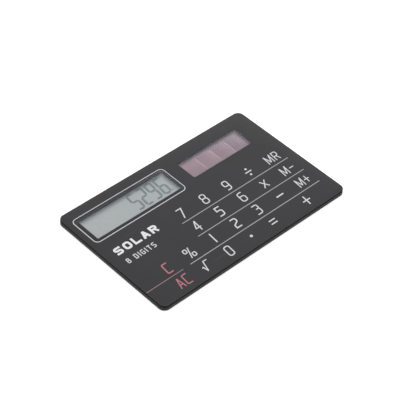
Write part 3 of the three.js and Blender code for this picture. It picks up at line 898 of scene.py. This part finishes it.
def build_sheet():
    soft = 0.07
    steps = 4
    n_corner = 20
    inset = rounded(*grown(FILM_BOX, -soft), FILM_R - soft, n_corner)
    holes = [rounded(*DISPLAY, DISPLAY_R, 12), rounded(*SOLAR, SOLAR_R, 6)]
    holes += [rounded(*ZONES[k], KEY_R, 8) for k in sorted(ZONES)]
    v, tris, place = cdt([inset] + holes, lambda c: c == {0})
    n = len(v)
    verts = [(x, y, Z_FACE) for x, y in v] + [(x, y, Z_FILM) for x, y in v]
    faces = [list(t) for t in tris] + [[i + n for i in t[::-1]] for t in tris]
    edge_faces, wall_faces = [], []
    base = len(inset)
    for k, h in enumerate(holes):
        idx = [place[base + i] for i in range(len(h))]
        for i in range(len(idx)):
            a, b = idx[i], idx[(i + 1) % len(idx)]
            if k < 2:
                wall_faces.append(len(faces))
            faces.append([a, b, b + n, a + n])
        base += len(h)
    ring = [place[i] for i in range(len(inset))]
    m = len(ring)
    prev = ring
    for s in range(1, steps + 1):
        phi = 0.5 * math.pi * s / steps
        d = soft * (1 - math.sin(phi))
        z = Z_FACE - soft * (1 - math.cos(phi))
        cur = []
        for x, y in rounded(*grown(FILM_BOX, -d), FILM_R - d, n_corner):
            cur.append(len(verts))
            verts.append((x, y, z))
        for i in range(m):
            a, b = i, (i + 1) % m
            edge_faces.append(len(faces))
            faces.append([cur[a], cur[b], prev[b], prev[a]])
        prev = cur
    cur = []
    for x, y in rounded(*FILM_BOX, FILM_R, n_corner):
        cur.append(len(verts))
        verts.append((x, y, Z_FILM))
    for i in range(m):
        a, b = i, (i + 1) % m
        edge_faces.append(len(faces))
        faces.append([cur[a], cur[b], prev[b], prev[a]])
    for i in range(m):
        a, b = i, (i + 1) % m
        faces.append([ring[a] + n, ring[b] + n, cur[b], cur[a]])
    o = new_mesh("face_sheet", verts, faces, FILM)
    o.data.materials.append(FILM_EDGE_SHADE)
    o.data.materials.append(WINDOW_WALL)
    # painted shade: the rounded shoulder and the cut edge take the near-black edge finish, which paints the shadow
    # line along the film's edge
    for i in edge_faces:
        o.data.polygons[i].material_index = 1
    for i in wall_faces:
        o.data.polygons[i].material_index = 2
    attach(o, "case")
    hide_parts("face_film")
    return o


build_sheet()


def smooth01(t):
    t = min(1.0, max(0.0, t))
    return t * t * (3 - 2 * t)


def build_zone(key):
    box = ZONES[key]
    rings = 7
    loops, weights = [], []
    for s in range(rings + 1):
        d = FLEX * s / rings
        loops.append(rounded(*grown(box, -d), KEY_R - d, 8))
        weights.append(smooth01(s / rings))
    m = len(loops[0])
    verts, w, faces = [], [], []
    for z in (Z_FACE, Z_FILM):
        for loop, weight in zip(loops, weights):
            verts += [(x, y, z) for x, y in loop]
            w += [weight] * m
    low = (rings + 1) * m
    for s in range(rings):
        for i in range(m):
            a, b = s * m + i, s * m + (i + 1) % m
            c, d = a + m, b + m
            faces.append([a, b, d, c])
            faces.append([c + low, d + low, b + low, a + low])
    top = list(range(rings * m, rings * m + m))
    faces.append(top)
    faces.append([i + low for i in top[::-1]])
    for i in range(m):
        a, b = i, (i + 1) % m
        faces.append([a + low, b + low, b, a])
    o = new_mesh("film_" + key, verts, faces, FILM)
    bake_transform(o)
    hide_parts(key)
    # carbon pill printed on the underside
    cx, cy = (box[0] + box[2]) / 2, (box[1] + box[3]) / 2
    pill = plate("contact_" + key, [disc(cx, cy, 1.78, 36)], 1.805, Z_FILM + 0.002, CARBON, soft=0.0)
    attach(pill, key)


for key in sorted(ZONES):
    build_zone(key)

# ---------------------------------------------------------------------------------------------
# printing
# ---------------------------------------------------------------------------------------------
INK_LOW, INK_TOP = Z_FACE - 0.010, Z_FACE + 0.012
S = 0.46
LEGENDS = {
    "key_7": [("7", -9.03, 1.28, 2.50, 4.7, S)],
    "key_8": [("8", 1.53, 1.42, 2.65, 4.8, S)],
    "key_9": [("9", 12.05, 1.25, 2.50, 4.65, 0.48)],
    "key_divide": [("/", 22.72, 1.32, 2.9, 3.9, 0.50)],
    "key_memory_recall": [("M", 32.69, 1.07, 2.80, 4.15, 0.40), ("R", 35.99, 1.07, 2.30, 4.15, 0.40)],
    "key_4": [("4", -9.31, -6.50, 2.5, 4.8, S)],
    "key_5": [("5", 1.39, -6.41, 2.55, 4.65, 0.51)],
    "key_6": [("6", 12.27, -6.38, 2.6, 4.7, S)],
    "key_multiply": [("x", 22.72, -6.75, 2.75, 3.9, 0.43)],
    "key_memory_minus": [("M", 32.72, -6.77, 2.80, 4.15, 0.40), ("-", 36.02, -6.77, 1.9, 3.3, 0.40)],
    "key_clear": [("C", -30.05, -14.44, 2.45, 4.75, 0.50)],
    "key_percent": [("%", -19.69, -14.12, 3.9, 4.7, 0.42)],
    "key_1": [("1", -9.01, -14.22, 1.0, 4.6, 0.51)],
    "key_2": [("2", 1.70, -14.07, 2.55, 4.65, 0.52)],
    "key_3": [("3", 11.88, -14.19, 2.55, 4.7, S)],
    "key_minus": [("-", 22.76, -14.34, 3.3, 3.3, 0.60)],
    "key_memory_plus": [("M", 32.66, -14.41, 2.80, 4.15, 0.40), ("+", 35.86, -14.41, 2.2, 3.3, 0.40)],
    "key_all_clear": [("A", -31.27, -22.08, 2.4, 4.6, 0.43), ("C", -28.27, -22.08, 2.3, 4.6, 0.43)],
    "key_square_root": [("r", -19.51, -21.96, 3.6, 4.6, 0.42)],
    "key_0": [("0", -9.00, -22.01, 2.6, 4.75, S)],
    "key_decimal_point": [(".", 1.43, -21.91, 1.15, 1.15, S)],
    "key_equals": [("=", 11.96, -21.83, 2.8, 2.0, 0.50)],
    "key_plus": [("+", 28.07, -22.03, 3.3, 4.3, 0.50)],
}
RED_KEYS = ("key_clear", "key_all_clear")
for key, items in LEGENDS.items():
    polys = []
    for ch, x, y, w, h, s in items:
        polys += lettering(ch, x, y, w, h, s)
    o = plate("legend_" + key, polys, INK_LOW, INK_TOP, INK_RED if key in RED_KEYS else INK_WHITE)
    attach(o, key)


def line(x0, x1, y, w):
    return [(x0, y - w / 2), (x1, y - w / 2), (x1, y + w / 2), (x0, y + w / 2)]


def printed(name, polys, material, keep=None):
    o = plate(name, polys, INK_LOW, INK_TOP, material, keep=keep)
    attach(o, "case")
    return o


printed("print_row_line_1", [line(-12.3, 38.6, -2.50, 0.31)], INK_LINE)
printed("print_row_line_2", [line(-12.3, 38.6, -10.40, 0.31)], INK_LINE)
printed("print_row_line_3", [line(-23.0, 38.6, -18.10, 0.33)], INK_LINE)
printed("print_row_line_red", [line(-42.45, -26.3, -18.2, 0.28)], INK_LINE_RED)
OUT_X0, OUT_Y0, OUT_X1, OUT_Y1, OUT_W, OUT_R = -40.2, 9.2, 0.62, 22.62, 0.27, 1.70
printed(
    "print_display_outline",
    [
        rounded(OUT_X0 - OUT_W / 2 - 0.05, OUT_Y0 - OUT_W / 2 - 0.05, OUT_X1 + OUT_W / 2, OUT_Y1 + OUT_W / 2, OUT_R + OUT_W / 2, 14),
        rounded(OUT_X0 + OUT_W / 2, OUT_Y0 + OUT_W / 2, OUT_X1 - OUT_W / 2, OUT_Y1 - OUT_W / 2, OUT_R - OUT_W / 2, 14),
    ],
    INK_WHITE,
    keep=lambda c: c == {0},
)


def text(name, string, x0, x1, y, h, w, s, slant, ink=None):
    polys = []
    n = len(string)
    widths = [w * {" ": 0.6, "I": 0.32}.get(c, 1.0) for c in string]
    gap = ((x1 - x0) - sum(widths)) / (n - 1)
    x = x0
    for c, cw in zip(string, widths):
        if c != " ":
            polys += lettering(c, x + cw / 2, y, cw, h, s, slant)
        x += cw + gap
    printed(name, polys, ink or INK_WHITE)


text("print_generic_word", "SOLAR", -38.5, -19.9, 1.95, 3.4, 3.05, 0.86, 0.0, INK_WORD)
text("print_generic_note", "8 DIGITS", -38.1, -25.6, -3.62, 2.3, 1.35, 0.37, 0.0)

# ---------------------------------------------------------------------------------------------
# windows, liquid crystal and solar cells
# ---------------------------------------------------------------------------------------------
def pane(name, box, r, n, material, node, soft=0.025, tuck=0.02):
    loops = [
        (rounded(*grown(box, -soft), r - soft, n), Z_FACE),
        (rounded(*grown(box, -soft * 0.3), r - soft * 0.3, n), Z_FACE - soft * 0.3),
        (rounded(*grown(box, tuck), r + tuck, n), Z_FACE - soft),
        (rounded(*grown(box, tuck), r + tuck, n), Z_FILM + 0.01),
    ]
    m = len(loops[0][0])
    verts = [(x, y, z) for loop, z in loops for x, y in loop]
    faces = []
    for s in range(len(loops) - 1):
        for i in range(m):
            a, b = s * m + i, s * m + (i + 1) % m
            faces.append([a + m, b + m, b, a])
    faces.append(list(range(m)))
    faces.append([(len(loops) - 1) * m + i for i in range(m)][::-1])
    o = new_mesh(name, verts, faces, material, sharp=50)
    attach(o, "case")
    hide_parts(node)
    return o


# the printed border of the display, seen through the pane
lo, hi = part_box("display_mask")
OPENING = (-38.3, 10.9, -0.40, 21.3)
mask = plate(
    "display_border",
    [rounded(lo.x / MM, lo.y / MM, hi.x / MM, hi.y / MM, 0.3, 4), rounded(*OPENING, 0.45, 6)],
    lo.z / MM,
    hi.z / MM,
    MASK,
    keep=lambda c: c == {0},
)
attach(mask, "case")
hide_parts("display_mask")

pane("display_pane", DISPLAY, DISPLAY_R, 12, PANE, "display_window")
pane("solar_pane", SOLAR, SOLAR_R, 6, SOLAR_PANE, "solar_window")

# the crystal layer and its segments sit where they are seen through the glass
Z_LC = 1.57
lcd = plate("display_liquid_crystal", [rounded(-40.1, 10.2, 0.5, 22.4, 0.2, 3)], Z_LC - 0.03, Z_LC, LCD)
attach(lcd, "case")

SEG_W, SEG_H, SEG_T, SEG_GAP = 2.50, 7.95, 0.86, 0.06
SEG_SLANT = math.tan(math.radians(5.2))
DIGIT_Y = 16.30
DIGIT_X = [-4.75 - 4.06 * i for i in range(8)]
LIT = {"0": "abcdef", "1": "bc", "2": "abged", "3": "abgcd", "4": "fgbc", "5": "afgcd", "6": "afgedc", "7": "abc", "8": "abcdefg", "9": "abcdfg"}


def segment(which, cx, cy):
    w, h, t, g = SEG_W / 2, SEG_H / 2, SEG_T / 2, SEG_GAP
    bars = {"a": (0, h, "h"), "g": (0, 0, "h"), "d": (0, -h, "h"), "f": (-w, h / 2, "v"), "b": (w, h / 2, "v"), "e": (-w, -h / 2, "v"), "c": (w, -h / 2, "v")}
    x, y, kind = bars[which]
    if kind == "h":
        e = w - g
        pts = [(-e, 0), (-e + t, -t), (e - t, -t), (e, 0), (e - t, t), (-e + t, t)]
    else:
        e = h / 2 - g
        pts = [(0, -e), (t, -e + t), (t, e - t), (0, e), (-t, e - t), (-t, -e + t)]
    return [(cx + x + p + (y + q) * SEG_SLANT, cy + y + q) for p, q in pts]


on, off = [], []
shown = "5296"
for i, cx in enumerate(DIGIT_X):
    lit = LIT[shown[-1 - i]] if i < len(shown) else ""
    for name in "abcdefg":
        (on if name in lit else off).append(segment(name, cx, DIGIT_Y))
    dot = disc(cx + 1.95 - SEG_H / 2 * SEG_SLANT, DIGIT_Y - SEG_H / 2 + 0.05, 0.36, 12)
    (on if i == 0 else off).append(dot)
seg = plate("display_segments_lit", on, Z_LC - 0.005, Z_LC + 0.012, SEG_ON)
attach(seg, "case")
seg = plate("display_segments_idle", off, Z_LC - 0.005, Z_LC + 0.004, SEG_OFF)
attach(seg, "case")

# four cells with the lighter scribe lines between them
Z_CELL = 1.50
CX0, CX1, CY0, CY1 = 5.3, 35.3, 10.6, 21.1
CELLS_X1, CELLS_Y0, CELLS_Y1 = 33.35, 12.1, 19.5
SCRIBES = [13.5, 20.48, 27.42]
SCRIBE_W = 0.5
ground = plate("solar_cell_margin", [rounded(CX0, CY0, CX1, CY1, 0.2, 3)], Z_CELL - 0.06, Z_CELL - 0.02, CELL_MARGIN)
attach(ground, "case")
scribes = [rounded(x - SCRIBE_W / 2 - 0.02, CELLS_Y0 + 0.1, x + SCRIBE_W / 2 + 0.02, CELLS_Y1 - 0.1, 0.05, 2) for x in SCRIBES]
lines = plate("solar_scribe_lines", scribes, Z_CELL - 0.025, Z_CELL - 0.008, CELL_GAP)
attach(lines, "case")
edges = [CX0 + 0.1] + SCRIBES + [CELLS_X1]
for i in range(4):
    x0 = edges[i] + (0.0 if i == 0 else SCRIBE_W / 2)
    x1 = edges[i + 1] - (0.0 if i == 3 else SCRIBE_W / 2)
    cell = plate("solar_cell_%d" % (i + 1), [rounded(x0, CELLS_Y0, x1, CELLS_Y1, 0.25, 4)], Z_CELL - 0.03, Z_CELL, CELL, soft=0.01)
    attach(cell, "case")

# ---------------------------------------------------------------------------------------------
# stage: pale floor and soft studio light
# ---------------------------------------------------------------------------------------------
def make_stage():
    me = bpy.data.meshes.new("floor")
    me.from_pydata([(-3, -3, -0.00003), (3, -3, -0.00003), (3, 3, -0.00003), (-3, 3, -0.00003)], [], [(0, 1, 2, 3)])
    floor = bpy.data.objects.new("floor", me)
    scene.collection.objects.link(floor)
    m = Mat("pale_floor")
    n = m.noise(40.0, 2.0)
    col = m.mix(m.span(n, 0.3, 0.7, 0.0, 1.0), (0.86, 0.86, 0.86, 1), (0.88, 0.88, 0.88, 1))
    shader = m.principled(col, 0.9, specular=0.1, Emission_Color=(1, 1, 1, 1), Emission_Strength=0.45)
    me.materials.append(m.finish(shader))

    world = bpy.data.worlds.new("studio")
    scene.world = world
    world.use_nodes = True
    bg = world.node_tree.nodes["Background"]
    bg.inputs["Color"].default_value = (1.0, 1.0, 1.0, 1)
    bg.inputs["Strength"].default_value = 0.80

    def area(name, loc, target, size, size_y, power, color=(1, 1, 1)):
        data = bpy.data.lights.new(name, "AREA")
        data.shape = "RECTANGLE"
        data.size, data.size_y = size, size_y
        data.energy = power
        data.color = color
        o = bpy.data.objects.new(name, data)
        scene.collection.objects.link(o)
        o.location = loc
        o.rotation_euler = (Vector(target) - Vector(loc)).to_track_quat("-Z", "Y").to_euler()

    area("softbox_back_right", (0.42, 0.40, 0.22), (0.0, 0.0, 0.0), 0.35, 0.25, 0.50)
    area("softbox_top", (0.05, 0.05, 0.8), (0.0, 0.0, 0.0), 0.6, 0.6, 2.0)


make_stage()
scene.view_settings.view_transform = "Standard"
scene.view_settings.look = "None"
scene.view_settings.exposure = 0.0
scene.view_settings.gamma = 1.0
